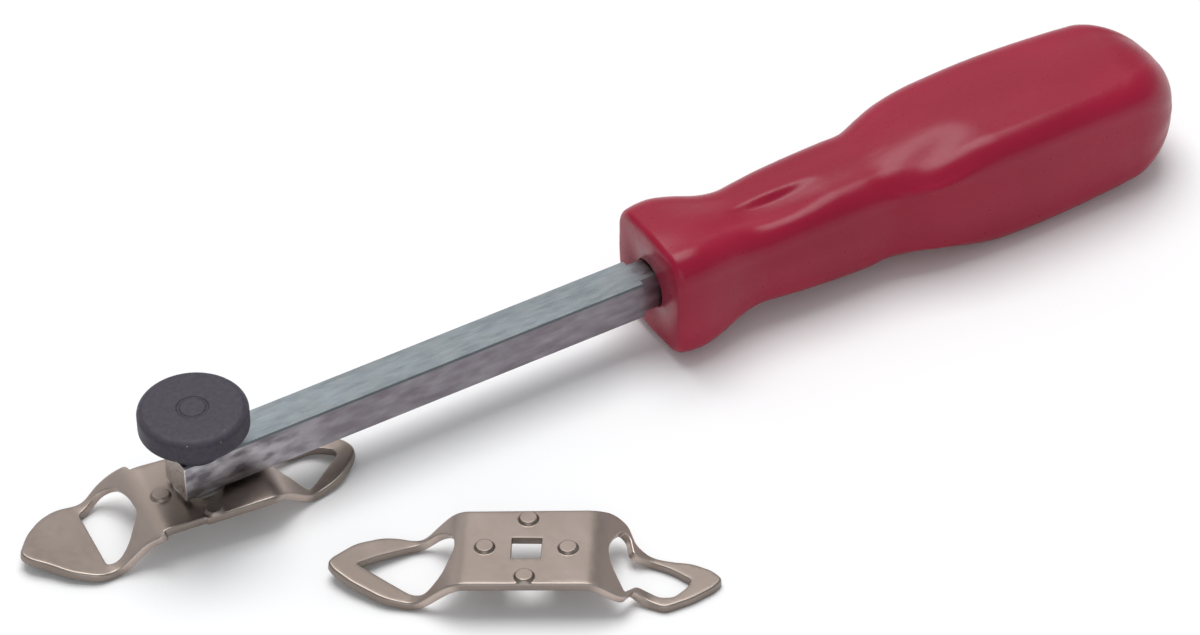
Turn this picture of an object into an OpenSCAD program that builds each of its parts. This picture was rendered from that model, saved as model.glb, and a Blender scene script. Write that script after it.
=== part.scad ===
// Long-handled lever opener: a square steel shank in a moulded handle, with a pressed,
// double-ended opener plate clamped under its front end, and a spare opener plate beside it.
// Millimetres. +X runs from the opener end to the handle, +Z is up, and z = 0 is the table.

/* [Shank] */
// Width across the flats of the square bar
shank_w = 10; // [8:0.5:12]
// Length of the square bar, from its front end to the tang's shoulder
shank_l = 119; // [90:1:150]
// Distance from the front end of the bar to the clamp axis
front_margin = 5.7; // [5:0.1:9]
// Chamfer on the bar's long edges
shank_chamfer = 0.4; // [0.2:0.1:0.8]
// How much wider than the flats the turned-down tang is across its corners
tang_corner_extra = 1.6; // [1:0.1:2.5]
// How far the tang's flats lie under the bar's flats
tang_relief = 0.1; // [0.05:0.05:0.5]
// Tang length that shows between the shoulder and the handle
neck_l = 4; // [2:0.5:8]
// Tang length inside the handle
tang_l = 70; // [50:1:90]

/* [Handle] */
// Length of the handle
handle_l = 140.3; // [120:0.5:170]
// Width and height of the flared collar
collar_w = 30; // [26:0.5:36]
// Width and height of the waist behind the collar
waist_w = 23.8; // [21:0.2:27]
// Width and height of the neck in front of the palm swell
neck_w = 26.2; // [23:0.2:30]
// Width of the palm swell
swell_w = 35.8; // [31:0.2:40]
// Radius of the collar's front edge
collar_edge_r = 2.5; // [1:0.5:4]
// Depth of the bore past the end of the tang
bore_relief = 1.5; // [0.5:0.5:4]

/* [Clamp] */
// Diameter of the clamp bolt's round shank
bolt_d = 6; // [5:0.5:6]
// Thread pitch, which is also the drop of the opener plate for each turn of the knob
thread_pitch = 1; // [0.8:0.05:1.25]
// Width of the bolt's square neck
bolt_neck_w = 6.5; // [6.1:0.1:7]
// Diameter of the bolt's low round head
bolt_head_d = 13; // [11:0.5:13]
// Height of the bolt's head
bolt_head_h = 3; // [2:0.25:4]
// Length of bolt that is screwed into the knob
thread_engaged = 8; // [7:0.5:8]
// Diameter of the knob's disc
knob_d = 25.3; // [20:0.1:32]
// Thickness of the knob's disc
knob_t = 6.1; // [4:0.1:9]
// Height of the hub under the disc
hub_h = 6.1; // [5:0.1:9]
// Diameter of the hub
hub_d = 13; // [12:0.5:16]
// Diameter of the threaded insert
insert_d = 9; // [8:0.25:10]
// Length of the threaded insert
insert_l = 9; // [9:0.5:10]
// Diameter of the spacer washer
washer_d = 12; // [10:0.5:12]
// Thickness of the spacer washer, which is the gap between the bar and the plate
washer_t = 1.1; // [1.1:0.1:2]

/* [Opener plates] */
// Sheet thickness
plate_t = 2; // [1.6:0.1:2.4]
// Width of the flat centre panel
panel_w = 24; // [24:0.5:26]
// Drop from the top of the panel to the top of the bent-down ends
end_drop = 8; // [7:0.25:10]
// Side of the square hole
square_hole_w = 6.7; // [6.6:0.1:7.2]
// Distance from the clamp axis to the centre of each dimple
dimple_ring_r = 9.3; // [9.1:0.1:9.5]
// Diameter of a dimple at its foot
dimple_d = 4.9; // [4:0.1:5]
// Height of a dimple, less than the spacer washer so that it clears the bar
dimple_h = 0.8; // [0.5:0.1:0.8]
// Angle of the mounted plate about the clamp axis
head_yaw = -6.4; // [-15:0.1:15]
// Distance from the clamp axis along the bar to the middle of the spare plate
spare_ahead = 52.2; // [45:0.1:70]
// Distance from the bar out to the middle of the spare plate
spare_aside = 57.2; // [52:0.1:80]
// Angle of the spare plate on the table
spare_yaw = -32.6; // [-45:0.1:-20]

/* [Hidden] */
$fn = 96;

// Radial clearance of the bolt in the bar and in the insert
running_gap = 0.08;
// Distance a cutting body runs past the face it cuts
past = 1;
// Number of points on each rounded corner of an outline
corner_steps = 6;

// ---- Outlines with rounded corners. Each point is [x, y, length trimmed off both sides]. ----

function unit(v) = v / norm(v);
function left_of(v) = [-v.y, v.x];
function flat(p) = [p.x, p.y];

// A corner is replaced by a parabola that leaves one side and meets the other smoothly.
// The trim is limited by the sides, of which two neighbouring corners share each one.
shared = 0.48;
function soft_corner(a, b, c, trim) =
    trim == 0 ? [b] :
    let (cut = min(trim, norm(a - b) * shared, norm(c - b) * shared),
         from = b + unit(a - b) * cut, to = b + unit(c - b) * cut)
    [for (i = [0 : corner_steps])
        let (s = i / corner_steps)
        from * (1 - s) * (1 - s) + b * 2 * s * (1 - s) + to * s * s];

function soft_outline(pts) =
    let (n = len(pts))
    [for (i = [0 : n - 1])
        each soft_corner(flat(pts[(i + n - 1) % n]), flat(pts[i]), flat(pts[(i + 1) % n]), pts[i][2])];

function turned(p, angle) = [p.x * cos(angle) - p.y * sin(angle), p.x * sin(angle) + p.y * cos(angle)];

// ---- Opener plates: a plan outline, cut from a sheet that is bent to a side profile ----

// Where the bends start, measured from the clamp axis
front_bend_x = 13;
panel_bend_x = 15.5;
// Horizontal length of the ramps between the panel and the ends
front_ramp_l = 11;
rear_ramp_l = 9;
notched_ramp_l = 11.5;
// Upward slope of the ends past the ramps
end_rise = 8;
// Trim of the bends, which sets their inner and outer radii
bend_trim = 2;
// How far the bent sheet runs past the outlines before they cut it
sheet_run = 25;

// The outlines are drawn for a panel of this width, and are widened or narrowed with panel_w.
drawn_panel_w = 24;
function widened(pts) = [for (p = pts) [p.x, p.y * panel_w / drawn_panel_w, p[2]]];

// The mounted plate: a solid pointed tongue in front and a loop behind,
// with a shallow recess in each long edge
head_outline = widened([
    [15.5, 12, 2.5], [-2.5, 12, 0], [-2.5, 11.4, 0.2], [-12.4, 11.8, 0.3], [-12.8, 13.5, 0.9],
    [-17, 14.9, 2], [-20.2, 15, 2], [-24, 13.6, 1.5], [-30.5, 13.5, 3], [-35, 11.2, 2],
    [-39.2, 7.3, 2], [-42.9, 1.6, 1.5], [-41.6, -1.2, 1.5], [-38.6, -3.6, 2], [-34.3, -8.1, 2],
    [-28.6, -11.4, 2.5], [-24, -11, 1.5], [-17, -10.6, 2], [-14.3, -12, 0.9], [-12.7, -11.9, 0.9],
    [-12.4, -11, 0.2], [-2.5, -11, 0.2], [-2.5, -11.6, 0], [15, -11.4, 2], [18.8, -8.8, 2],
    [25, -6.6, 2.5], [32, -4.6, 3], [36.4, -0.6, 2], [38.6, 2.6, 2], [37.4, 6.6, 2], [33.5, 10.4, 3],
    [28, 11.8, 2], [24, 11.4, 2]]);

// Window of the tongue: a straight biting edge in front and a rounded apex behind
window = widened([
    [-25.8, 10.2, 1], [-25.8, -8, 1], [-23, -8.4, 1.5], [-20, -6.6, 1.5], [-15.4, -0.8, 2],
    [-15.6, 5, 2], [-17.2, 10.8, 2], [-20.6, 13, 2]]);

// Opening of the mounted plate's rear loop
loop_hole = widened([
    [17.4, 0.6, 1.5], [21, -1.6, 1], [24, -4.9, 0.8], [34.2, 2.8, 1], [34, 4.6, 1], [31, 7.2, 1.5],
    [28, 8.2, 1.5], [19.5, 7.6, 1.5]]);

// The spare plate: a pointed loop in front and a notched loop behind
spare_outline = widened([
    [-15.5, -12, 2], [-19.9, -10.8, 2], [-25.2, -10.5, 2], [-31.5, -9.5, 2.5], [-39.3, -5.1, 2],
    [-43.4, -1.6, 1.5], [-44.6, 0.4, 1], [-43.8, 2.2, 1], [-38.9, 7.5, 2], [-33, 10.3, 2.5],
    [-29.7, 10.7, 2], [-23.6, 10.2, 1.5], [-20.2, 11.7, 2], [-17.6, 12.4, 2], [-13.7, 12, 2],
    [15.2, 12.8, 2], [19, 14.2, 2], [22.2, 12.8, 1.5], [24.2, 7.9, 1.2], [27, 6, 1.5], [31.6, 4.7, 2],
    [36.8, 4.1, 2], [41.4, 1.8, 1.5], [43.6, -0.8, 1.2], [41.9, -3.4, 1.2], [37.1, -7.2, 2],
    [31, -10.3, 1.6], [27.6, -8.9, 1.2], [25.4, -7.8, 0.8], [24.2, -7.3, 0.8], [22.7, -10.5, 0.9],
    [21, -11.3, 0.9], [14.6, -11.5, 2]]);

// Opening of the pointed loop, which narrows to a point
point_hole = widened([
    [-38.2, 0.9, 0.8], [-33.3, 4.3, 1.5], [-25.7, 8.3, 1.5], [-22, 9.3, 1.5], [-19.2, 8.1, 1.5],
    [-16.6, 4.6, 1.5], [-16.2, 1, 1.5], [-18.8, -5.9, 2], [-22.2, -8.8, 1.5], [-25.4, -7.4, 1.5],
    [-31.7, -3.4, 2]]);

// Opening of the notched loop, with a hook beside the panel
notched_hole = widened([
    [18.3, 2, 1.5], [18.5, 4, 1.5], [19.8, 7.7, 1.5], [21.2, 10, 1.2], [22.7, 8.8, 1], [23.6, 4.5, 1],
    [27.4, 4.2, 1.5], [31.9, 2.2, 2], [36.6, -1.2, 1], [35.8, -3.6, 1], [32.9, -6.9, 1.2],
    [30, -7.1, 1.2], [27, -5.6, 1.2], [24.7, -5.2, 1], [22.2, -8.8, 0.5], [19, -2.4, 2]]);

square_hole = [for (corner = [[-1, -1], [1, -1], [1, 1], [-1, 1]]) corner * square_hole_w / 2];

// Top line of the bent sheet, from the front end to the rear end
function top_line(front_x, front_ramp, front_rise, rear_ramp, rear_rise) = [
    [-front_x - front_ramp - sheet_run, -end_drop + sheet_run * tan(front_rise), 0],
    [-front_x - front_ramp, -end_drop, bend_trim],
    [-front_x, 0, bend_trim],
    [panel_bend_x, 0, bend_trim],
    [panel_bend_x + rear_ramp, -end_drop, bend_trim],
    [panel_bend_x + rear_ramp + sheet_run, -end_drop + sheet_run * tan(rear_rise), 0]];

// A line's parallel at the sheet's thickness below it
function mitre(a, b, c, t) =
    let (n1 = left_of(unit(b - a)), n2 = left_of(unit(c - b)), m = unit(n1 + n2))
    b - m * t / (m * n1);

function parallel_line(p, t) =
    let (last = len(p) - 1)
    [for (i = [0 : last])
        let (q = i == 0 ? flat(p[0]) - left_of(unit(flat(p[1]) - flat(p[0]))) * t
                : i == last ? flat(p[last]) - left_of(unit(flat(p[last]) - flat(p[last - 1]))) * t
                : mitre(flat(p[i - 1]), flat(p[i]), flat(p[i + 1]), t))
        [q.x, q.y, p[i][2]]];

function reversed(p) = [for (i = [len(p) - 1 : -1 : 0]) p[i]];
function sheet_profile(line) = soft_outline(concat(line, reversed(parallel_line(line, plate_t))));
function lowest(pts) = min([for (p = pts) p.y]);

head_profile = sheet_profile(top_line(front_bend_x, front_ramp_l, end_rise, rear_ramp_l, end_rise));
spare_profile = sheet_profile(top_line(panel_bend_x, rear_ramp_l, end_rise, notched_ramp_l, 0));

// Heights of the panels' top faces, with the bent-down ends on the table
head_z = -lowest(head_profile);
spare_z = -lowest(spare_profile);
bar_z = head_z + washer_t + shank_w / 2;
bar_top_z = bar_z + shank_w / 2;

// ---- Where things stand: the origin is under the middle of the whole part ----

handle_x = shank_l - front_margin + neck_l;
handle_end_x = handle_x + handle_l;
spare_at = [spare_ahead, -spare_aside];
head_points = [for (p = soft_outline(head_outline)) turned(p, head_yaw)];
spare_points = [for (p = soft_outline(spare_outline)) turned(p, spare_yaw) + spare_at];
low_x = min([for (p = head_points) p.x]);
low_y = min([for (p = spare_points) p.y]);
high_y = max(swell_w / 2, max([for (p = head_points) p.y]));
clamp_axis = [-(low_x + handle_end_x) / 2, -(low_y + high_y) / 2];

// ---- Handle: rounded-square sections along its length ----

// The swell stands on the table, so its height follows from the height of the bar.
swell_h = 2 * bar_z;
// The swell's ends are this share of its full width
swell_step = 0.95;
// How much smaller than the collar's full half width its front face is
collar_lead = 0.8;
// How much smaller than the neck's half width the waist's end is
neck_lead = 0.3;
// Length of the rounded butt
butt_l = 17;
// The butt's rings shrink as a power of the cosine, up to this angle, where a small flat end closes it
butt_power = 0.8;
butt_angle = 87;
// Smallest corner radius of a ring
least_corner_r = 0.2;
// Rows of [distance from the collar's face, half width, half height, corner radius]
sections = [
    [0, collar_w / 2 - collar_lead, collar_w / 2 - collar_lead, 6.2],
    [7, collar_w / 2, collar_w / 2, 6.5],
    [24, waist_w / 2, waist_w / 2, 6],
    [42, neck_w / 2 - neck_lead, neck_w / 2 - neck_lead, 6.2],
    [59, neck_w / 2, neck_w / 2, 6.2],
    [75, swell_w / 2 * swell_step, swell_h / 2 * swell_step, 6.4],
    [96, swell_w / 2, swell_h / 2, 6.4],
    [handle_l - butt_l, swell_w / 2 * swell_step, swell_h / 2 * swell_step, 6.8]];
rings_front = 4;
rings_body = 26;
rings_butt = 8;
ring_points_per_corner = 8;

function ease(s) = s * s * (3 - 2 * s);
function row_before(x) = max([for (i = [0 : len(sections) - 2]) if (sections[i][0] <= x) i]);
function section_at(x) =
    let (i = row_before(min(x, handle_l - butt_l)), a = sections[i], b = sections[i + 1],
         s = ease(min(1, max(0, (x - a[0]) / (b[0] - a[0])))))
    a * (1 - s) + b * s;

// A ring at x, drawn in by inset all round
function ring(x, shrink, inset) =
    let (row = section_at(x), w = (row[1] - inset) * shrink, h = (row[2] - inset) * shrink,
         r = max(least_corner_r, row[3] - inset) * shrink)
    [for (q = [0 : 3], k = [0 : ring_points_per_corner - 1])
        let (a = 90 * q + 90 * k / (ring_points_per_corner - 1),
             sy = (q == 0 || q == 3) ? 1 : -1, sz = (q < 2) ? 1 : -1)
        [x, sy * (w - r) + r * cos(a), sz * (h - r) + r * sin(a)]];

function edge_inset(x, r) = r * (1 - sqrt(max(0, 1 - pow((r - x) / r, 2))));
handle_rings = concat(
    [for (i = [0 : rings_front])
        let (x = collar_edge_r * (1 - cos(90 * i / rings_front))) ring(x, 1, edge_inset(x, collar_edge_r))],
    [for (i = [1 : rings_body])
        let (x = collar_edge_r + (handle_l - butt_l - collar_edge_r) * i / rings_body) ring(x, 1, 0)],
    [for (i = [1 : rings_butt])
        let (a = butt_angle * i / rings_butt)
        ring(handle_l - butt_l + butt_l * sin(a) / sin(butt_angle), pow(cos(a), butt_power), 0)]);

module loft(rings) {
    n = len(rings[0]);
    last = len(rings) - 1;
    points = [for (r = rings) each r];
    sides = [for (i = [0 : last - 1], k = [0 : n - 1])
        let (a = i * n + k, b = i * n + (k + 1) % n)
        each [[a, b, b + n], [a, b + n, a + n]]];
    front = [[for (k = [n - 1 : -1 : 0]) k]];
    back = [[for (k = [0 : n - 1]) last * n + k]];
    polyhedron(points = points, faces = [for (f = concat(sides, front, back)) reversed(f)]);
}

tang_r = shank_w / 2 + tang_corner_extra / 2;

module handle() {
    color("#b3122d")
    translate([clamp_axis.x + handle_x, clamp_axis.y, bar_z])
    difference() {
        loft(handle_rings);
        translate([-past, 0, 0]) rotate([0, 90, 0])
            cylinder(h = tang_l + bore_relief + past, r = tang_r);
    }
}

// ---- Shank: a chamfered square bar, its corners turned down to make the tang ----

module square_bar(length, width) {
    half = width / 2;
    chamfer = shank_chamfer;
    rotate([90, 0, 90]) linear_extrude(length)
        polygon([[-half + chamfer, -half], [half - chamfer, -half], [half, -half + chamfer],
                 [half, half - chamfer], [half - chamfer, half], [-half + chamfer, half],
                 [-half, half - chamfer], [-half, -half + chamfer]]);
}

module shank() {
    color("#9aa3a3")
    translate([clamp_axis.x, clamp_axis.y, bar_z])
    difference() {
        union() {
            translate([-front_margin, 0, 0]) square_bar(shank_l, shank_w);
            translate([shank_l - front_margin - past, 0, 0])
                intersection() {
                    square_bar(past + neck_l + tang_l, shank_w - 2 * tang_relief);
                    rotate([0, 90, 0]) cylinder(h = past + neck_l + tang_l, r = tang_r);
                }
        }
        cylinder(h = shank_w + 2 * past, r = bolt_d / 2 + running_gap, center = true);
    }
}

// ---- Clamp: knob with a threaded insert, bolt and spacer washer ----

knob_edge_trim = 1.6;
hub_foot_trim = 0.4;
hub_top_trim = 0.8;
// The shallow ring in the knob's top
ring_mark_r = 3;
ring_mark_w = 0.6;
ring_mark_depth = 0.3;
knob_h = hub_h + knob_t;

module knob() {
    color("#2c2630")
    translate([clamp_axis.x, clamp_axis.y, bar_top_z])
    rotate_extrude()
        polygon(soft_outline([
            [insert_d / 2, 0, 0],
            [hub_d / 2, 0, hub_foot_trim],
            [hub_d / 2, hub_h, hub_top_trim],
            [knob_d / 2, hub_h, knob_edge_trim],
            [knob_d / 2, knob_h, knob_edge_trim],
            [ring_mark_r + ring_mark_w, knob_h, 0],
            [ring_mark_r + ring_mark_w / 2, knob_h - ring_mark_depth, 0],
            [ring_mark_r, knob_h, 0],
            [0, knob_h, 0],
            [0, insert_l, 0],
            [insert_d / 2, insert_l, 0]]));
}

module knob_insert() {
    color("#b08d3c")
    translate([clamp_axis.x, clamp_axis.y, bar_top_z])
    difference() {
        cylinder(h = insert_l, d = insert_d);
        translate([0, 0, -past]) cylinder(h = insert_l + 2 * past, r = bolt_d / 2 + running_gap);
    }
}

// A thread's depth is this share of its pitch, and the bolt's tip is chamfered to that depth
thread_depth_ratio = 0.61;
bolt_tip_chamfer = thread_depth_ratio * thread_pitch;
bolt_neck_chamfer = 0.4;
// The share of the head's height that is trimmed off its corner to make the low dome
head_dome_share = 0.9;

module clamp_bolt() {
    shank_top = washer_t + shank_w + thread_engaged;
    head_seat = -plate_t;
    color("#a8a49c")
    translate([clamp_axis.x, clamp_axis.y, head_z]) rotate([0, 0, head_yaw])
    union() {
        translate([0, 0, head_seat]) cylinder(h = shank_top - bolt_tip_chamfer - head_seat, d = bolt_d);
        translate([0, 0, shank_top - bolt_tip_chamfer])
            cylinder(h = bolt_tip_chamfer, d1 = bolt_d, d2 = bolt_d - 2 * bolt_tip_chamfer);
        translate([-bolt_neck_w / 2, -bolt_neck_w / 2, head_seat])
            cube([bolt_neck_w, bolt_neck_w, plate_t - bolt_neck_chamfer]);
        translate([0, 0, head_seat]) rotate_extrude()
            polygon(soft_outline([
                [0, 0, 0],
                [0, -bolt_head_h, 0],
                [bolt_head_d / 2, -bolt_head_h, bolt_head_h * head_dome_share],
                [bolt_head_d / 2, 0, 0]]));
    }
}

module spacer_washer() {
    color("#8f8c86")
    translate([clamp_axis.x, clamp_axis.y, head_z])
    difference() {
        cylinder(h = washer_t, d = washer_d);
        translate([0, 0, -past]) cylinder(h = washer_t + 2 * past, r = bolt_d / 2 + running_gap);
    }
}

// ---- Opener plates ----

dimple_taper = 1.2;
dimple_top_d = dimple_d - dimple_taper;
dimple_wall = 0.9;

// The pressed dimples stand on the panel in a cross, each with a hollow under it
module at_dimples() {
    for (quarter = [0 : 3]) rotate([0, 0, 90 * quarter]) translate([dimple_ring_r, 0, 0]) children();
}

module bent_plate(profile, outline, holes) {
    span = 3 * panel_w;
    reach = 2 * (end_drop + plate_t);
    difference() {
        union() {
            intersection() {
                translate([0, 0, -reach]) linear_extrude(2 * reach)
                    difference() {
                        polygon(soft_outline(outline));
                        for (hole = holes) polygon(soft_outline(hole));
                        polygon(square_hole);
                    }
                rotate([90, 0, 0]) linear_extrude(span, center = true) polygon(profile);
            }
            at_dimples() translate([0, 0, -plate_t / 2]) cylinder(h = plate_t / 2, d = dimple_d);
            at_dimples() cylinder(h = dimple_h, d1 = dimple_d, d2 = dimple_top_d);
        }
        at_dimples() translate([0, 0, -plate_t - past])
            cylinder(h = past + dimple_h, d = dimple_d - 2 * dimple_wall);
    }
}

module opener_plate() {
    color("#a39a8e")
    translate([clamp_axis.x, clamp_axis.y, head_z]) rotate([0, 0, head_yaw])
        bent_plate(head_profile, head_outline, [window, loop_hole]);
}

module spare_plate() {
    color("#a39a8e")
    translate([clamp_axis.x + spare_at.x, clamp_axis.y + spare_at.y, spare_z]) rotate([0, 0, spare_yaw])
        bent_plate(spare_profile, spare_outline, [point_hole, notched_hole]);
}

handle();
shank();
knob();
knob_insert();
clamp_bolt();
spacer_washer();
opener_plate();
spare_plate();
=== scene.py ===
import math

import bpy
import numpy as np
from mathutils import Matrix, Vector
from mathutils.geometry import delaunay_2d_cdt


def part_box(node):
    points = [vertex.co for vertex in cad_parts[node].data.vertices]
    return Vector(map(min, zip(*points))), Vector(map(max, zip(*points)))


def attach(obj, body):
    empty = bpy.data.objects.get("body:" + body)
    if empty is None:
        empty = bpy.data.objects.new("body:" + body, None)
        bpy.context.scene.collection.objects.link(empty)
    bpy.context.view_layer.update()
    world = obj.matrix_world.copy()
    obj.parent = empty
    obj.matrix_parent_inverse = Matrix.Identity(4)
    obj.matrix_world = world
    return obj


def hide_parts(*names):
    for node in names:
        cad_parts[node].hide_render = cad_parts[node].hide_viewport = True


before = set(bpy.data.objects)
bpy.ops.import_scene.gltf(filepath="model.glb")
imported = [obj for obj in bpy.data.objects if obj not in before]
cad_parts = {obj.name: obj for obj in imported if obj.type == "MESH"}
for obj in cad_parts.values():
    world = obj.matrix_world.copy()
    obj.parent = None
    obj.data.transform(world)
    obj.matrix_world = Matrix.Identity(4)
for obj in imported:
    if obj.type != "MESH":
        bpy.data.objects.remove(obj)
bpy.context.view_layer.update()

# ---- Shank: a 10 mm square steel bar, cold drawn and zinc plated to a cool grey. ----
# Its corners are turned down at the rear to make the tang, which is pressed into the handle.
# It is streaked along its length. Its sides carry a mottled painted reflection and painted light near the
# clamp, and its sawn front end is painted pale as a painted reflection.
mm = 0.001
clamp_x, clamp_y = ((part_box("spacer_washer")[0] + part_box("spacer_washer")[1]) / 2)[:2]
bar_low, bar_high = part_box("shank")


def bare_finish(name, colour, metallic, roughness):
    """A material with one Principled shader, given back with its node tree and shader."""
    material = bpy.data.materials.new(name)
    material.use_nodes = True
    shader = material.node_tree.nodes["Principled BSDF"]
    shader.inputs["Base Color"].default_value = (*colour, 1)
    shader.inputs["Metallic"].default_value = metallic
    shader.inputs["Roughness"].default_value = roughness
    return material, material.node_tree, shader


def cloud(tree, scale, detail=4.0, stretch=(1, 1, 1)):
    """Noise over the object's own coordinates: scale counts its blobs per metre, and stretch squeezes them
    along each axis."""
    place = tree.nodes.new("ShaderNodeTexCoord")
    spread = tree.nodes.new("ShaderNodeMapping")
    spread.inputs["Scale"].default_value = stretch
    noise = tree.nodes.new("ShaderNodeTexNoise")
    noise.inputs["Scale"].default_value = scale
    noise.inputs["Detail"].default_value = detail
    tree.links.new(place.outputs["Object"], spread.inputs["Vector"])
    tree.links.new(spread.outputs["Vector"], noise.inputs["Vector"])
    return noise.outputs["Fac"]


def tones(tree, fac, *stops):
    """A colour ramp: each stop is a place from 0 to 1 and a colour or a grey level."""
    ramp = tree.nodes.new("ShaderNodeValToRGB")
    ends = ramp.color_ramp.elements
    for _ in range(len(stops) - 2):
        ends.new(0.5)
    for end, (place, colour) in zip(ends, stops):
        end.position = place
        end.color = (*colour, 1) if isinstance(colour, tuple) else (colour, colour, colour, 1)
    tree.links.new(fac, ramp.inputs["Fac"])
    return ramp.outputs["Color"]


def blended(tree, fac, first, second, how="MIX"):
    """Two colours mixed by a factor, each colour a socket or a tuple."""
    mix = tree.nodes.new("ShaderNodeMix")
    mix.data_type = "RGBA"
    mix.blend_type = how
    for socket, value in ((mix.inputs[0], fac), (mix.inputs[6], first), (mix.inputs[7], second)):
        if isinstance(value, (tuple, float, int)):
            socket.default_value = (*value, 1) if isinstance(value, tuple) else value
        else:
            tree.links.new(value, socket)
    return mix.outputs[2]


def raised(tree, shader, height, distance, strength=1.0, before=None):
    """A bump of the given height in metres, laid over an earlier bump if there is one."""
    bump = tree.nodes.new("ShaderNodeBump")
    bump.inputs["Distance"].default_value = distance
    bump.inputs["Strength"].default_value = strength
    tree.links.new(height, bump.inputs["Height"])
    if before is not None:
        tree.links.new(before, bump.inputs["Normal"])
    tree.links.new(bump.outputs["Normal"], shader.inputs["Normal"])
    return bump.outputs["Normal"]


def axis_mask(tree, axis, off, full):
    """0 at the place off and 1 at the place full, in metres along one of the object's own axes."""
    place = tree.nodes.new("ShaderNodeTexCoord")
    parts = tree.nodes.new("ShaderNodeSeparateXYZ")
    span = tree.nodes.new("ShaderNodeMapRange")
    span.inputs["From Min"].default_value = off
    span.inputs["From Max"].default_value = full
    tree.links.new(place.outputs["Object"], parts.inputs["Vector"])
    tree.links.new(parts.outputs[axis], span.inputs["Value"])
    return span.outputs["Result"]


zinc, tree, shader = bare_finish("zinc_plated_steel", (0.5, 0.53, 0.53), 1.0, 0.34)
streaks = tones(
    tree, cloud(tree, 260, 6, (0.16, 1, 1)), (0.3, (0.178, 0.202, 0.217)), (0.7, (0.238, 0.268, 0.285)))
blotches = tones(tree, cloud(tree, 140, 5), (0.42, 0.0), (0.66, 1.0))
plated = blended(tree, blotches, streaks, (0.225, 0.243, 0.25))
# Painted reflection: the sides' mottled, purplish tone stands in for the floor's reflection.
side_painted_reflection = tones(
    tree, cloud(tree, 420, 8, (0.35, 1, 1)),
    (0.36, (0.185, 0.160, 0.180)), (0.52, (0.225, 0.205, 0.228)), (0.72, (0.275, 0.262, 0.275)))
# Painted light: near the clamp the sides are painted lighter.
clamp_painted_light = tones(
    tree, cloud(tree, 330, 7, (0.5, 1, 1)), (0.36, (0.19, 0.17, 0.19)), (0.60, (0.52, 0.50, 0.53)))
near_clamp = axis_mask(tree, "X", bar_low.x + 42 * mm, bar_low.x + 14 * mm)
sides = blended(tree, near_clamp, side_painted_reflection, clamp_painted_light)
# The top face keeps the plating, and the sides below its edge take the painted reflection and the painted
# light.
top_face = axis_mask(tree, "Z", bar_high.z - 0.7 * mm, bar_high.z - 0.15 * mm)
skin = blended(tree, top_face, sides, plated)
# Painted reflection: the sawn front end is painted pale, with fine speckle from the saw.
saw_marks = tones(tree, cloud(tree, 900, 6), (0.3, 0.0), (0.7, 1.0))
sawn_end_painted_reflection = blended(tree, saw_marks, (0.62, 0.56, 0.54), (0.86, 0.80, 0.77))
front_end = axis_mask(tree, "X", bar_low.x + 0.4 * mm, bar_low.x + 0.1 * mm)
tree.links.new(blended(tree, front_end, skin, sawn_end_painted_reflection), shader.inputs["Base Color"])
dullness = tones(tree, cloud(tree, 700, 6, (0.3, 1, 1)), (0.3, 0.27), (0.75, 0.44))
tree.links.new(dullness, shader.inputs["Roughness"])
raised(tree, shader, cloud(tree, 1500, 6, (0.12, 1, 1)), 0.03 * mm)
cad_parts["shank"].data.materials.clear()
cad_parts["shank"].data.materials.append(zinc)

# ---- Clamp bolt and spacer washer: plain bright-plated steel, headed and pressed. ----
# The washer keeps the opener plate off the bar, and the bolt's square neck turns with the plate.
bright_steel, tree, shader = bare_finish("bright_steel", (0.5, 0.48, 0.45), 1.0, 0.3)
plating = tones(tree, cloud(tree, 500, 5), (0.3, (0.38, 0.36, 0.34)), (0.7, (0.55, 0.53, 0.5)))
tree.links.new(plating, shader.inputs["Base Color"])
raised(tree, shader, cloud(tree, 2200, 4), 0.02 * mm)
for node in ("clamp_bolt", "spacer_washer"):
    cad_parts[node].data.materials.clear()
    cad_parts[node].data.materials.append(bright_steel)

# ---- Opener plate: 2 mm sheet steel, blanked, pierced and bent in a press, then nickel plated. ----
# Blanking leaves its top edges rolled over. Four pressed dimples stand round the square hole.
# It is held under the bar by the clamp bolt, a solid tongue in front and an open loop behind.
plate_t = 2 * mm
# Radii of the edges: outside and in the holes on top, in the square hole, and below
top_roll, hole_roll, square_roll, low_roll = 0.55 * mm, 0.3 * mm, 0.15 * mm, 0.15 * mm
square_half, square_trim = 3.35, 0.3
# Each dimple is a step up on top, and a smaller one in the hollow underneath
dimple_h = 0.8 * mm
dimple_top_r, dimple_foot_r = 1.85 * mm, 2.42 * mm
hollow_top_r, hollow_foot_r = 1.1 * mm, 1.75 * mm
dimple_centres = 9.3 * mm * np.array([[1, 0], [0, 1], [-1, 0], [0, -1]])


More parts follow.
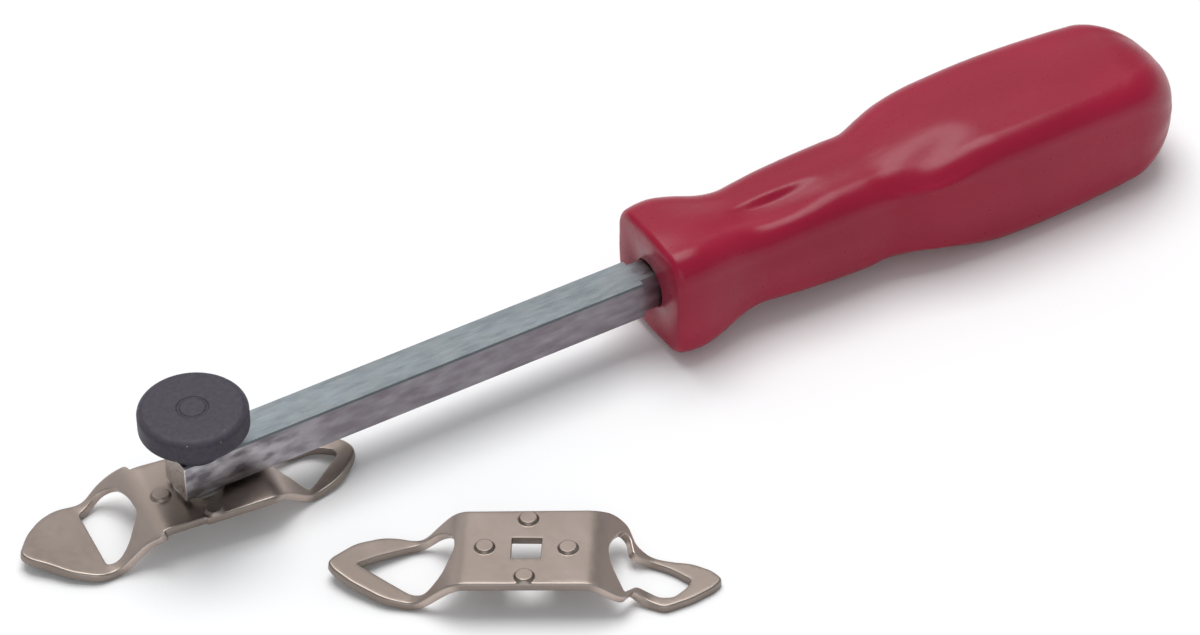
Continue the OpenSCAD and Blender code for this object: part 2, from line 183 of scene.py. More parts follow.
def soft_outline(rows, step=0.6 * mm, corner_steps=8):
    """A closed line through corners given as x, y and trim in millimetres. Each corner is the parabola
    a(1-s)^2 + 2bs(1-s) + cs^2 that leaves one side and meets the next, and long sides are divided."""
    rows = np.asarray(rows, float) * mm
    shared = 0.48
    corner, trim = rows[:, :2], rows[:, 2]
    back, ahead = np.roll(corner, 1, 0) - corner, np.roll(corner, -1, 0) - corner
    back_l, ahead_l = np.linalg.norm(back, axis=1), np.linalg.norm(ahead, axis=1)
    cut = np.minimum(trim, shared * np.minimum(back_l, ahead_l))[:, None]
    start, end = corner + back / back_l[:, None] * cut, corner + ahead / ahead_l[:, None] * cut
    s = np.linspace(0, 1, corner_steps + 1)[None, :, None]
    line = start[:, None] * (1 - s) ** 2 + corner[:, None] * 2 * s * (1 - s) + end[:, None] * s ** 2
    line = line.reshape(-1, 2)
    line = line[np.linalg.norm(np.roll(line, -1, 0) - line, axis=1) > 1e-7]
    side = np.roll(line, -1, 0) - line
    parts = np.maximum(1, np.ceil(np.linalg.norm(side, axis=1) / step)).astype(int)
    which = np.repeat(np.arange(len(line)), parts)
    share = (np.arange(parts.sum()) - np.repeat(np.cumsum(parts) - parts, parts)) / parts[which]
    return line[which] + side[which] * share[:, None]


def wound(line, counter_clockwise):
    """The line run so that its signed area has the wanted sign."""
    after = np.roll(line, -1, 0)
    area = np.sum(line[:, 0] * after[:, 1] - line[:, 1] * after[:, 0])
    return line if (area > 0) == counter_clockwise else line[::-1]


def inset(line, distance):
    """The line moved to its left by the distance: each point goes along the mitre of its two sides' normals,
    which is their sum over one plus their dot product."""
    side = np.roll(line, -1, 0) - line
    side /= np.linalg.norm(side, axis=1)[:, None]
    normal = np.stack([-side[:, 1], side[:, 0]], 1)
    other = np.roll(normal, 1, 0)
    return line + (normal + other) / (1 + np.sum(normal * other, 1))[:, None] * distance


def within(points, loops):
    """True where a ray along +X from the point crosses the loops an odd number of times."""
    a = np.vstack(loops)
    b = np.vstack([np.roll(loop, -1, 0) for loop in loops])
    y = points[:, 1:2]
    spans = (a[None, :, 1] > y) != (b[None, :, 1] > y)
    rise = np.where(b[:, 1] == a[:, 1], 1.0, b[:, 1] - a[:, 1])
    at = a[None, :, 0] + (y - a[None, :, 1]) * ((b[:, 0] - a[:, 0]) / rise)[None]
    return (np.sum(spans & (at > points[:, 0:1]), 1) % 2).astype(bool)


def fill(loops, inner):
    """Counter-clockwise Delaunay triangles over the loops' points and the inner points. The sheet lies to the
    left of each loop: it is every triangle that runs with a loop's side, or is reached from such a triangle
    without crossing a loop."""
    points = np.vstack([*loops, inner])
    starts = np.cumsum([0] + [len(loop) for loop in loops])
    rims = np.vstack([
        np.stack([np.arange(n), np.roll(np.arange(n), -1)], 1) + s for s, n in zip(starts, map(len, loops))])
    _, _, faces, origin, _, _ = delaunay_2d_cdt(points.tolist(), rims.tolist(), [], 0, 1e-9)
    triangles = np.array([o[0] for o in origin])[np.array(faces)]
    side = (triangles * len(points) + np.roll(triangles, -1, 1)).ravel()
    mirrored = (np.roll(triangles, -1, 1) * len(points) + triangles).ravel()
    rim_side = rims[:, 0] * len(points) + rims[:, 1]
    rim_mirrored = rims[:, 1] * len(points) + rims[:, 0]
    order = np.argsort(side)
    found = order[np.clip(np.searchsorted(side[order], mirrored), 0, len(order) - 1)]
    open_side = (side[found] == mirrored) & ~np.isin(side, rim_side) & ~np.isin(side, rim_mirrored)
    neighbour, open_side = (found // 3).reshape(-1, 3), open_side.reshape(-1, 3)
    kept = np.isin(side, rim_side).reshape(-1, 3).any(1)
    reached = 0
    while kept.sum() > reached:
        reached = kept.sum()
        kept |= (kept[neighbour] & open_side).any(1)
    return triangles[kept]


def bent_height(x, first_slope, bends, width):
    """Height and slope of the sheet's top line at x, level with the panel at x = 0. Every bend adds its
    change of slope over a smooth step of the given width, whose integral is u^3 - u^4/2 and then u - 1/2."""
    x = np.append(x, 0)
    height, slope = first_slope * x, np.full_like(x, first_slope)
    for at, change in bends:
        u = (x - at) / width + 0.5
        v = np.clip(u, 0, 1)
        slope += change * v * v * (3 - 2 * v)
        height += change * width * np.where(u > 1, u - 0.5, v ** 3 - v ** 4 / 2)
    return (height - height[-1])[:-1], slope[:-1]


def dimple_rise(points, top_r, foot_r):
    """How far the four dimples lift the sheet: 3u^2 - 2u^3 of their height, where u grows from 0 at foot_r
    to 1 at top_r from the nearest centre."""
    r = np.linalg.norm(points[:, None] - dimple_centres[None], axis=2).min(1)
    u = np.clip((foot_r - r) / (foot_r - top_r), 0, 1)
    return dimple_h * u * u * (3 - 2 * u)


def skin_mesh(name, points, quads, triangles, marks, material, sharp_degrees=None):
    """A smooth shaded object at the origin from arrays of points, quads and triangles, with one named
    attribute per mark."""
    mesh = bpy.data.meshes.new(name)
    mesh.from_pydata(points.tolist(), [], quads.tolist() + triangles.tolist())
    for mark, values in marks.items():
        mesh.attributes.new(mark, "FLOAT", "POINT").data.foreach_set("value", values.astype(np.float32))
    mesh.polygons.foreach_set("use_smooth", np.ones(len(mesh.polygons), bool))
    if sharp_degrees:
        mesh.set_sharp_from_angle(angle=math.radians(sharp_degrees))
    mesh.materials.append(material)
    made = bpy.data.objects.new(name, mesh)
    bpy.context.scene.collection.objects.link(made)
    return made


def face_points():
    """Points over a sheet's faces: a lattice of staggered rows, and rings of points round each dimple."""
    half_l, half_w, spacing = 48, 15, 0.7
    x, y = np.meshgrid(np.arange(-half_l, half_l, spacing) * mm, np.arange(-half_w, half_w, spacing) * mm)
    stagger = (np.arange(len(x))[:, None] % 2) * spacing * mm / 2
    lattice = np.column_stack([(x + stagger).ravel(), y.ravel()])
    angle = np.radians(np.arange(0, 360, 12))
    radii = np.array([0.6, 1.2, 1.5, 1.7, 1.82, 1.95, 2.08, 2.2, 2.32, 2.45, 2.6, 2.9]) * mm
    ring = np.stack([np.outer(radii, np.cos(angle)).ravel(), np.outer(radii, np.sin(angle)).ravel()], 1)
    ringed = (dimple_centres[:, None] + ring[None]).reshape(-1, 2)
    clear_r = 3.3 * mm
    away = np.linalg.norm(lattice[:, None] - dimple_centres[None], axis=2).min(1) >= clear_r
    return np.vstack([lattice[away], ringed, dimple_centres])


def clear_of(points, rim, gap, blocks=12):
    """The points that lie further than the gap from every point of the rim, worked out in blocks."""
    nearest = [
        np.sqrt(((part[:, None] - rim[None]) ** 2).sum(2)).min(1) for part in np.array_split(points, blocks)]
    return points[np.concatenate(nearest) > gap]


def pressed_plate(name, outline, holes, first_slope, bends, bend_width, centre, yaw, height, material):
    """A bent sheet. Each loop's edge is a quarter circle at the top, a straight wall and a small quarter
    circle below. The faces between are filled, lifted at the dimples and bent along X: a point at x and
    height d over the sheet's top goes to x - d sin(a) and h + d cos(a), where a is the slope's angle and
    h the height of the top line. Then the whole is turned by the yaw and set down."""
    a = square_half
    square = [[-a, -a, square_trim], [a, -a, square_trim], [a, a, square_trim], [-a, a, square_trim]]
    loops = [wound(soft_outline(outline), True)]
    loops += [wound(soft_outline(hole), False) for hole in [*holes, square]]
    rolls = [top_roll, *[hole_roll] * len(holes), square_roll]
    turn = np.radians(np.linspace(0, 90, 7))
    shell, marks, quads, tops, lows, grown = [], [], [], [], [], 0
    for loop, roll in zip(loops, rolls):
        sunk = np.concatenate([roll * (1 - np.sin(turn)), low_roll * (1 - np.cos(turn[::3]))])
        depth = np.concatenate([-roll * (1 - np.cos(turn)), -plate_t + low_roll * (1 - np.sin(turn[::3]))])
        n, last_row = len(loop), len(depth) - 1
        i = np.arange(n)
        for distance, level in zip(sunk, depth):
            shell.append(np.column_stack([inset(loop, distance), np.full(n, level)]))
        for row in range(last_row):
            a, b = grown + row * n + i, grown + row * n + np.roll(i, -1)
            quads.append(np.stack([a, a + n, b + n, b], 1))
        tops.append(grown + i)
        lows.append(grown + last_row * n + i)
        marks.append(np.repeat(np.append(np.sin(2 * turn), [0, 0, 0]), n))
        grown += n * len(depth)
    shell = np.vstack(shell)

    inner, rim_gap, faces = face_points(), 0.33 * mm, []
    for rim, level in ((tops, 0.0), (lows, -plate_t)):
        edge = [shell[row][:, :2] for row in rim]
        spots = clear_of(inner[within(inner, edge)], np.vstack(edge), rim_gap)
        index = np.concatenate([*rim, grown + np.arange(len(spots))])
        triangles = index[fill(edge, spots)]
        faces.append(triangles if level == 0.0 else triangles[:, ::-1])
        shell = np.vstack([shell, np.column_stack([spots, np.full(len(spots), level)])])
        marks.append(np.zeros(len(spots)))
        grown += len(spots)
    flat, depth = shell[:, :2], shell[:, 2]
    upper = dimple_rise(flat, dimple_top_r, dimple_foot_r)
    lower = dimple_rise(flat, hollow_top_r, hollow_foot_r)
    depth = depth + np.where(depth > -plate_t / 2, upper, lower)
    rise, slope = bent_height(flat[:, 0], first_slope, bends, bend_width)
    run = np.sqrt(1 + slope ** 2)
    x, y, z = flat[:, 0] - depth * slope / run, flat[:, 1], rise + depth / run
    c, s = math.cos(math.radians(yaw)), math.sin(math.radians(yaw))
    points = np.column_stack([x * c - y * s + centre[0], x * s + y * c + centre[1], z + height])
    # The edge and steepness marks carry the painted highlight on the rolled edges and the painted light on
    # the ramps.
    painted_light_marks = {"edge": np.concatenate(marks), "steepness": np.abs(slope)}
    return skin_mesh(name, points, np.vstack(quads), np.vstack(faces), painted_light_marks, material)


nickel, tree, shader = bare_finish("satin_nickel", (0.5, 0.46, 0.41), 1.0, 0.36)
sheen = tones(
    tree, cloud(tree, 90, 5, (1, 0.5, 1)), (0.35, (0.240, 0.197, 0.170)), (0.68, (0.278, 0.232, 0.205)))
# Painted light: the bent ramps are painted lighter than the panel, by the steepness mark.
slope_mark = tree.nodes.new("ShaderNodeAttribute")
slope_mark.attribute_name = "steepness"
on_ramps = tones(tree, slope_mark.outputs["Fac"], (0.2, 0.0), (0.7, 0.9))
ramps_painted_light = blended(tree, on_ramps, sheen, (0.52, 0.43, 0.38))
# Painted highlight: the rolled edges are painted lighter, by the edge mark.
edge_mark = tree.nodes.new("ShaderNodeAttribute")
edge_mark.attribute_name = "edge"
on_edges = tones(tree, edge_mark.outputs["Fac"], (0.2, 0.0), (0.9, 0.4))
tree.links.new(blended(tree, on_edges, ramps_painted_light, (0.40, 0.36, 0.33)), shader.inputs["Base Color"])
tree.links.new(tones(tree, cloud(tree, 600, 6), (0.3, 0.33), (0.75, 0.43)), shader.inputs["Roughness"])
raised(tree, shader, cloud(tree, 1800, 5, (1, 0.4, 1)), 0.008 * mm)

# Outlines are rows of x, y and trim in millimetres from the clamp axis, front end towards -x
mounted_outline = [
    [15.5, 12, 2.5], [-2.1, 12, 0.3], [-2.8, 11.4, 0.3], [-12.4, 11.8, 0.3], [-12.8, 13.5, 0.9],
    [-17, 14.9, 2], [-20.2, 15, 2], [-24, 13.6, 1.5], [-30.5, 13.5, 3], [-35, 11.2, 2], [-39.2, 7.3, 2],
    [-42.9, 1.6, 1.5], [-41.6, -1.2, 1.5], [-38.6, -3.6, 2], [-34.3, -8.1, 2], [-28.6, -11.4, 2.5],
    [-24, -11, 1.5], [-17, -10.6, 2], [-14.3, -12, 0.9], [-12.7, -11.9, 0.9], [-12.4, -11, 0.2],
    [-2.8, -11, 0.3], [-2.1, -11.6, 0.3], [15, -11.4, 2], [18.8, -8.8, 2], [25, -6.6, 2.5], [32, -4.6, 3],
    [36.4, -0.6, 2], [38.6, 2.6, 2], [37.4, 6.6, 2], [33.5, 10.4, 3], [28, 11.8, 2], [24, 11.4, 2]]
tongue_window = [
    [-25.8, 10.2, 1], [-25.8, -8, 1], [-23, -8.4, 1.5], [-20, -6.6, 1.5], [-15.4, -0.8, 2], [-15.6, 5, 2],
    [-17.2, 10.8, 2], [-20.6, 13, 2]]
rear_loop = [
    [17.4, 0.6, 1.5], [21, -1.6, 1], [24, -4.9, 0.8], [34.2, 2.8, 1], [34, 4.6, 1], [31, 7.2, 1.5],
    [28, 8.2, 1.5], [19.5, 7.6, 1.5]]
# The panel bends down by end_drop over a ramp at each end, and the ends rise again by end_slope
end_slope, end_drop = math.tan(math.radians(8)), 8 * mm
front_bend, panel_bend, bend_l = 13 * mm, 15.5 * mm, 6.5 * mm
front_ramp, rear_ramp, mounted_yaw = 11 * mm, 9 * mm, -6.4
mounted = pressed_plate(
    "opener_plate_pressed", mounted_outline, [tongue_window, rear_loop], -end_slope,
    [(-front_bend - front_ramp, end_drop / front_ramp + end_slope), (-front_bend, -end_drop / front_ramp),
     (panel_bend, -end_drop / rear_ramp), (panel_bend + rear_ramp, end_drop / rear_ramp + end_slope)],
    bend_l, (clamp_x, clamp_y), mounted_yaw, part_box("spacer_washer")[0].z, nickel)
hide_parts("opener_plate")
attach(mounted, "head")

# ---- Spare plate: pressed from the same sheet, with a pointed loop in front and a notched loop behind. ----
# It lies loose on the table beside the tool, and takes the mounted plate's place on the clamp bolt.
spare_outline = [
    [-15.5, -12, 2], [-19.9, -10.8, 2], [-25.2, -10.5, 2], [-31.5, -9.5, 2.5], [-39.3, -5.1, 2],
    [-43.4, -1.6, 1.5], [-44.6, 0.4, 1], [-43.8, 2.2, 1], [-38.9, 7.5, 2], [-33, 10.3, 2.5], [-29.7, 10.7, 2],
    [-23.6, 10.2, 1.5], [-20.2, 11.7, 2], [-17.6, 12.4, 2], [-13.7, 12, 2], [15.2, 12.8, 2], [19, 14.2, 2],
    [22.2, 12.8, 1.5], [24.2, 7.9, 1.2], [27, 6, 1.5], [31.6, 4.7, 2], [36.8, 4.1, 2], [41.4, 1.8, 1.5],
    [43.6, -0.8, 1.2], [41.9, -3.4, 1.2], [37.1, -7.2, 2], [31, -10.3, 1.6], [27.6, -8.9, 1.2],
    [25.4, -7.8, 0.8], [24.2, -7.3, 0.8], [22.7, -10.5, 0.9], [21, -11.3, 0.9], [14.6, -11.5, 2]]
point_hole = [
    [-38.2, 0.9, 0.8], [-33.3, 4.3, 1.5], [-25.7, 8.3, 1.5], [-22, 9.3, 1.5], [-19.2, 8.1, 1.5],
    [-16.6, 4.6, 1.5], [-16.2, 1, 1.5], [-18.8, -5.9, 2], [-22.2, -8.8, 1.5], [-25.4, -7.4, 1.5],
    [-31.7, -3.4, 2]]
notched_hole = [
    [18.3, 2, 1.5], [18.5, 4, 1.5], [19.8, 7.7, 1.5], [21.2, 10, 1.2], [22.7, 8.8, 1], [23.6, 4.5, 1],
    [27.4, 4.2, 1.5], [31.9, 2.2, 2], [36.6, -1.2, 1], [35.8, -3.6, 1], [32.9, -6.9, 1.2], [30, -7.1, 1.2],
    [27, -5.6, 1.2], [24.7, -5.2, 1], [22.2, -8.8, 0.5], [19, -2.4, 2]]
notched_ramp, spare_ahead, spare_aside, spare_yaw = 11.5 * mm, 52.2 * mm, 57.2 * mm, -32.6
spare = pressed_plate(
    "spare_plate_pressed", spare_outline, [point_hole, notched_hole], -end_slope,
    [(-panel_bend - rear_ramp, end_drop / rear_ramp + end_slope), (-panel_bend, -end_drop / rear_ramp),
     (panel_bend, -end_drop / notched_ramp), (panel_bend + notched_ramp, end_drop / notched_ramp)],
    bend_l, (clamp_x + spare_ahead, clamp_y - spare_aside), spare_yaw,
    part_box("spare_plate")[1].z - dimple_h, nickel)
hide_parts("spare_plate")
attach(spare, "spare")

# ---- Knob: moulded in black plastic with a fine matt skin, a disc on a hub. ----
# The mould leaves a shallow ring in its top. A turned brass insert carries the thread and is moulded in.
insert_brass, tree, shader = bare_finish("turned_brass", (0.62, 0.44, 0.17), 1.0, 0.3)
raised(tree, shader, cloud(tree, 900, 3, (0.2, 0.2, 6)), 0.02 * mm)
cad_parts["knob_insert"].data.materials.clear()
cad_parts["knob_insert"].data.materials.append(insert_brass)

knob_low, knob_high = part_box("knob")
disc_r = (knob_high.x - knob_low.x) / 2


def stacked_rings(rings):
    """Quads between each ring of points and the next, and a fan to the middle of the first and last ring."""
    k, n = rings.shape[:2]
    i = np.arange(n)
    after = np.roll(i, -1)
    rows = np.arange(k - 1)[:, None] * n
    quads = np.stack([rows + i, rows + after, rows + n + after, rows + n + i], 2).reshape(-1, 4)
    first, last = k * n, k * n + 1
    first_fan = np.stack([np.full(n, first), after, i], 1)
    last_fan = np.stack([np.full(n, last), (k - 1) * n + i, (k - 1) * n + after], 1)
    points = np.vstack([rings.reshape(-1, 3), rings[0].mean(0), rings[-1].mean(0)])
    return points, quads, np.vstack([first_fan, last_fan])


def rounded_line(corners, steps=8):
    """A line through corners given as radius, height and trim in millimetres, each corner made the same
    parabola as the plates'."""
    rows = np.asarray(corners, float) * mm
    place, trim = rows[:, :2], rows[1:-1, 2][:, None]
    back, ahead = place[:-2] - place[1:-1], place[2:] - place[1:-1]
    start = place[1:-1] + back / np.linalg.norm(back, axis=1)[:, None] * trim
    end = place[1:-1] + ahead / np.linalg.norm(ahead, axis=1)[:, None] * trim
    s = np.linspace(0, 1, steps + 1)[None, :, None]
    middle = start[:, None] * (1 - s) ** 2 + place[1:-1][:, None] * 2 * s * (1 - s) + end[:, None] * s ** 2
    return np.vstack([place[:1], middle.reshape(-1, 2), place[-1:]])


# Out along the top of the insert's seat, down its wall, out under the hub, up its side, out under the disc,
# up the rim and in over the mould ring
knob_h, ring_sunk = 12.2, 0.22
knob_line = rounded_line([
    [0.02, 9, 0], [4.5, 9, 0.02], [4.5, 0, 0.1], [6.5, 0, 0.4], [6.5, 6.1, 0.8], [11.6, 6.1, 0.3],
    [12.65, 6.6, 0.5], [12.65, 11.4, 0.8], [11.4, knob_h, 0.65], [3.75, knob_h, 0.2],
    [3.5, knob_h - ring_sunk, 0.1], [3.1, knob_h - ring_sunk, 0.1], [2.85, knob_h, 0.2], [1.5, 12.17, 0.3],
    [0.02, 12.17, 0]])
around = np.radians(np.arange(0, 360, 2.5))
knob_rings = np.stack([
    clamp_x + np.outer(knob_line[:, 0], np.cos(around)), clamp_y + np.outer(knob_line[:, 0], np.sin(around)),
    knob_low.z + np.outer(knob_line[:, 1], np.ones(len(around)))], 2)
knob_points, knob_quads, knob_fans = stacked_rings(knob_rings)
rubbed_w = 1.1 * mm
rim = np.exp(-((np.hypot(knob_line[:, 0] - disc_r, knob_line[:, 1] - knob_h * mm) / rubbed_w) ** 2))
rim_mark = np.append(np.repeat(rim, len(around)), [0, 0])
black_knob, tree, shader = bare_finish("matt_black_plastic", (0.03, 0.026, 0.034), 0.0, 0.55)
tone = tones(tree, cloud(tree, 900, 5), (0.3, (0.013, 0.009, 0.018)), (0.75, (0.034, 0.025, 0.045)))
rim_at = tree.nodes.new("ShaderNodeAttribute")
rim_at.attribute_name = "rim"
on_rim = tones(tree, rim_at.outputs["Fac"], (0.35, 0.0), (0.95, 0.6))
rubbed = blended(tree, on_rim, tone, (0.075, 0.063, 0.084))
specks = tones(tree, cloud(tree, 800, 2), (0.70, 0.0), (0.74, 1.0))
worn_specks = blended(tree, specks, (0.0, 0.0, 0.0), rim_at.outputs["Fac"])
tree.links.new(blended(tree, worn_specks, rubbed, (0.42, 0.39, 0.38)), shader.inputs["Base Color"])
grain = raised(tree, shader, cloud(tree, 3200, 3), 0.05 * mm)
raised(tree, shader, cloud(tree, 700, 3), 0.05 * mm, before=grain)
knob = skin_mesh("knob_moulded", knob_points, knob_quads, knob_fans, {"rim": rim_mark}, black_knob, 50)
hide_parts("knob")
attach(knob, "knob")

# ---- Handle: moulded round the tang's bore in deep red plastic, semi-gloss, faintly translucent. ----
# Its section is a square with round corners: a flared collar, a slim waist and neck, and a palm swell.
# Hollows for the thumb are moulded into the upper and the lower face.
grip_low, grip_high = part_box("handle")
grip_l = (grip_high.x - grip_low.x) / mm
grip_z = (bar_low.z + bar_high.z) / 2


def flowing(x, stations, values):
    """A smooth line through the values: between stations, the cubic whose end slopes are the averages of
    the slopes of the chords on either side."""
    stations, values = np.asarray(stations, float), np.asarray(values, float)
    chord = np.diff(values) / np.diff(stations)
    slope = np.concatenate([[chord[0]], (chord[1:] + chord[:-1]) / 2, [chord[-1]]])
    i = np.clip(np.searchsorted(stations, x, side="right") - 1, 0, len(stations) - 2)
    h = stations[i + 1] - stations[i]
    u = np.clip((x - stations[i]) / h, 0, 1)
    return (values[i] * (1 + 2 * u) * (1 - u) ** 2 + slope[i] * h * u * (1 - u) ** 2
            + values[i + 1] * u * u * (3 - 2 * u) - slope[i + 1] * h * u * u * (1 - u))


butt_l = 17.0
# Rows of place along the handle, half width and half height, in millimetres from the collar's face
stations, half_wide, half_high = np.array([
    [0, 14.35, 14.35], [3.5, 14.75, 14.75], [7, 14.8, 14.8], [9.5, 14.5, 14.5], [13.5, 13.7, 13.7],
    [18.5, 12.5, 12.5], [23.5, 11.9, 11.9], [29, 12.2, 12.2], [34, 12.55, 12.55], [39, 12.75, 12.75],
    [44, 12.9, 12.9], [53, 13.05, 13.05], [58.5, 13.15, 13.1], [63.5, 14.6, 13.9], [68.5, 16, 14.7],
    [73.5, 16.8, 15.3], [79, 17.3, 15.7], [84, 17.6, 15.75], [92, 17.9, 15.8], [99, 17.9, 15.8],
    [104, 17.75, 15.75], [109, 17.6, 15.6], [114, 17.4, 15.4], [119, 17.2, 15.15], [123.3, 16.9, 14.9]]).T

# The outer rings go over the front edge, along the body and round the butt
edge_r = 1.7
edge_turn = np.radians(np.linspace(0, 90, 9))
edge_x = edge_r * (1 - np.cos(edge_turn))
edge_in = edge_r * (1 - np.sin(edge_turn))
body_x = np.linspace(edge_r, grip_l - butt_l, 118)[1:]
butt_turn = np.radians(np.linspace(0, 88, 25))[1:]
butt_x = grip_l - butt_l + butt_l * np.sin(butt_turn) / np.sin(butt_turn[-1])
along = np.concatenate([edge_x, body_x, butt_x])
drawn_in = np.concatenate([edge_in, np.zeros(len(body_x) + len(butt_x))])
butt_fall, corner_growth = 0.8, 1.5
shrunk = np.concatenate([np.ones(len(edge_x) + len(body_x)), np.cos(butt_turn) ** butt_fall])
level = np.minimum(along, grip_l - butt_l)
wide = (flowing(level, stations, half_wide) - drawn_in) * shrunk
high = (flowing(level, stations, half_high) - drawn_in) * shrunk

# The corners' radius narrows a little round the front edge and grows towards the butt's end
side_r, butt_r, edge_share = 6.3, 7.0, 0.9
rounder = np.concatenate([np.zeros(len(edge_x) + len(body_x)), np.sin(butt_turn) ** corner_growth])
corner_r = (side_r - drawn_in * edge_share + butt_r * rounder) * shrunk

# Round the section, each quarter is half a flat, a corner's arc and half a flat
flat_points, arc_points = 13, 15
arc = np.radians(np.linspace(0, 90, arc_points))
half_flat = np.linspace(0, 1, flat_points + 1)
core_y = np.concatenate([np.ones(flat_points + arc_points), half_flat[-2::-1]])
core_z = np.concatenate([half_flat[:-1], np.ones(arc_points + flat_points)])
face_y = np.concatenate([np.ones(flat_points), np.cos(arc), np.zeros(flat_points)])
face_z = np.concatenate([np.zeros(flat_points), np.sin(arc), np.ones(flat_points)])
quarter = np.stack([core_y, core_z, face_y, face_z])[:, :-1]
sy, sz, ny, nz = np.hstack([
    np.stack([quarter[0] * c - quarter[1] * s, quarter[0] * s + quarter[1] * c,
              quarter[2] * c - quarter[3] * s, quarter[2] * s + quarter[3] * c])
    for c, s in ((1, 0), (0, 1), (-1, 0), (0, -1))])

# The flats are crowned by a quartic hump, over the drawn size in the middle and under it at the corners
crown_h, crown_base = 0.4, 0.45
across = np.where(np.abs(ny) > np.abs(nz), sz, sy)
crown = crown_h * ((1 - across ** 2) ** 2 - crown_base)
ring_y = sy * (wide - corner_r)[:, None] + ny * (corner_r[:, None] + crown * shrunk[:, None])
ring_z = sz * (high - corner_r)[:, None] + nz * (corner_r[:, None] + crown * shrunk[:, None])
ring_x = np.repeat(along[:, None], len(sy), 1)


def hollow(x, y, centre, half, tilt, near_wall, far_wall):
    """A thumb hollow from 0 to 1: (1 - u^2)^2 along it times exp(-|v|^2.7) across it, with its own width of
    wall on the near and the far side, on axes turned by the tilt."""
    c, s = math.cos(math.radians(tilt)), math.sin(math.radians(tilt))
    u = ((x - centre[0]) * c + (y - centre[1]) * s) / half
    v = -(x - centre[0]) * s + (y - centre[1]) * c
    v = v / np.where(v > 0, far_wall, near_wall)
    return np.clip(1 - u * u, 0, 1) ** 2 * np.exp(-(np.abs(v) ** 2.7))


neck_hollow = 1.5 * hollow(ring_x, ring_y, (32.5, -2.2), 14, -3, 6.5, 1.7)
swell_hollow = 2.3 * hollow(ring_x, ring_y, (69, -13.5), 17, 13, 16, 6.2)
# They are full on the upper and lower flats, and fade out round the corners
fading = 1.6
ring_z = ring_z - np.sign(nz) * (neck_hollow + swell_hollow) * np.clip(np.abs(nz) * fading, 0, 1)

# The bore's rings, from its bottom out to its mouth, have as many points as the section, spread by angle
spread = 0.6
bore_angle = np.arctan2(nz + sz * spread, ny + sy * spread)
bore_y, bore_z = np.cos(bore_angle), np.sin(bore_angle)
tang_r, bore_l, mouth = 5.8, 71.5, 0.35
bore_x = np.array([bore_l, bore_l, mouth, 0.0])
bore_r = np.array([0.05, tang_r, tang_r, tang_r + mouth])
bore_along = np.repeat(bore_x[:, None], len(sy), 1)
inner_rings = np.stack([bore_along, np.outer(bore_r, bore_y), np.outer(bore_r, bore_z)], 2)
outer_rings = np.stack([ring_x, ring_y, ring_z], 2)
grip_rings = np.vstack([inner_rings, outer_rings]) * mm + np.array([grip_low.x, clamp_y, grip_z])
grip_points, grip_quads, grip_fans = stacked_rings(grip_rings)
red_plastic, tree, shader = bare_finish("red_handle_plastic", (0.29, 0.005, 0.022), 0.0, 0.34)
shader.inputs["Specular IOR Level"].default_value = 0.28
reds = tones(
    tree, cloud(tree, 45, 4, (0.6, 1, 1)), (0.35, (0.252, 0.003, 0.024)), (0.7, (0.302, 0.005, 0.031)))
tree.links.new(reds, shader.inputs["Base Color"])
tree.links.new(tones(tree, cloud(tree, 900, 5), (0.3, 0.27), (0.75, 0.36)), shader.inputs["Roughness"])
skin_grain = raised(tree, shader, cloud(tree, 2600, 3), 0.012 * mm)
raised(tree, shader, cloud(tree, 160, 3, (0.5, 1, 1)), 0.12 * mm, before=skin_grain)
grip = skin_mesh("handle_moulded", grip_points, grip_quads, grip_fans, {}, red_plastic, 60)
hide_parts("handle")
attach(grip, "root")

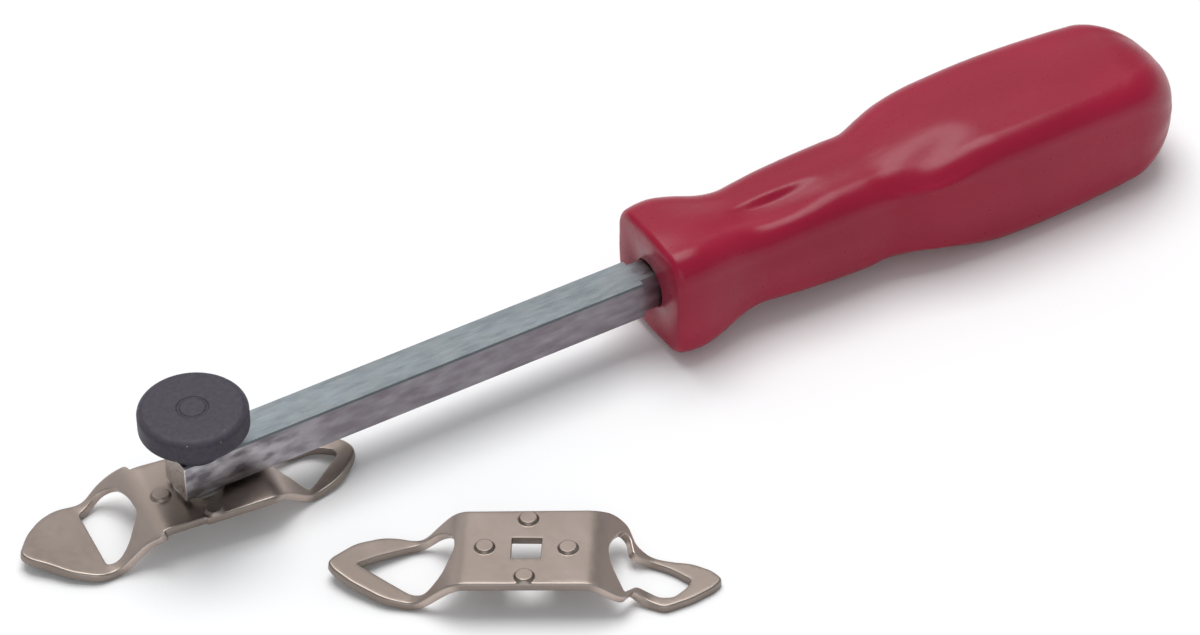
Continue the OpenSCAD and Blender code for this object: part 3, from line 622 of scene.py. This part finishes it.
# ---- Studio: a pale floor, a soft even room, three soft lights and the camera. ----
# The tool lies on the floor, which is a hair below it so that the two never share a face.
floor_half, floor_z = 6, -0.2 * mm
floor_mesh = bpy.data.meshes.new("floor")
floor_corners = [(x * floor_half, y * floor_half, floor_z) for x, y in ((-1, -1), (1, -1), (1, 1), (-1, 1))]
floor_mesh.from_pydata(floor_corners, [], [(0, 1, 2, 3)])
floor = bpy.data.objects.new("floor", floor_mesh)
bpy.context.scene.collection.objects.link(floor)
pale_floor, tree, shader = bare_finish("pale_floor", (0.9, 0.9, 0.9), 0.0, 0.9)
floor_mesh.materials.append(pale_floor)

world = bpy.data.worlds.new("soft_room")
world.use_nodes = True
world.node_tree.nodes["Background"].inputs["Color"].default_value = (0.95, 0.97, 1.0, 1)
world.node_tree.nodes["Background"].inputs["Strength"].default_value = 0.44
bpy.context.scene.world = world


def soft_light(name, place, power, size):
    """A square area light at a place in metres, turned to face the frame's origin."""
    lamp = bpy.data.lights.new(name, "AREA")
    lamp.energy, lamp.size = power, size
    made = bpy.data.objects.new(name, lamp)
    bpy.context.scene.collection.objects.link(made)
    made.location = place
    made.rotation_mode = "QUATERNION"
    made.rotation_quaternion = (-Vector(place)).to_track_quat("-Z", "Y")


soft_light("softbox_behind", (0.4, 2.2, 1.2), 14, 3.2)
soft_light("softbox_above", (0.2, 0.6, 2.3), 43, 1.6)
soft_light("softbox_front", (-1.1, -1.7, 0.6), 9, 1.8)

# The camera stands back with a long lens, turned a little about its own axis.
# It looks past the clamp, whose axis is to the left of and below the middle of its view.
azimuth, elevation, roll = math.radians(-28.596), math.radians(41.119), math.radians(-2.160)
distance, past_right, past_above = 1518.35 * mm, 90.466 * mm, 29.086 * mm
level_away = Vector((math.sin(azimuth), -math.cos(azimuth), 0))
to_camera = math.cos(elevation) * level_away + Vector((0, 0, math.sin(elevation)))
level_right = Vector((math.cos(azimuth), math.sin(azimuth), 0))
upright = to_camera.cross(level_right)
right = math.cos(roll) * level_right + math.sin(roll) * upright
up = -math.sin(roll) * level_right + math.cos(roll) * upright
lens = bpy.data.cameras.new("camera")
lens.sensor_width, lens.lens = 36.0, 203.43
lens.clip_start, lens.clip_end = 0.05, 50
camera = bpy.data.objects.new("camera", lens)
bpy.context.scene.collection.objects.link(camera)
aim = Vector((clamp_x, clamp_y, bar_high.z))
stand = aim + right * past_right + up * past_above + to_camera * distance
camera.matrix_world = Matrix.Translation(stand) @ Matrix((right, up, to_camera)).transposed().to_4x4()
bpy.context.scene.camera = camera
bpy.context.scene.view_settings.view_transform = "Standard"
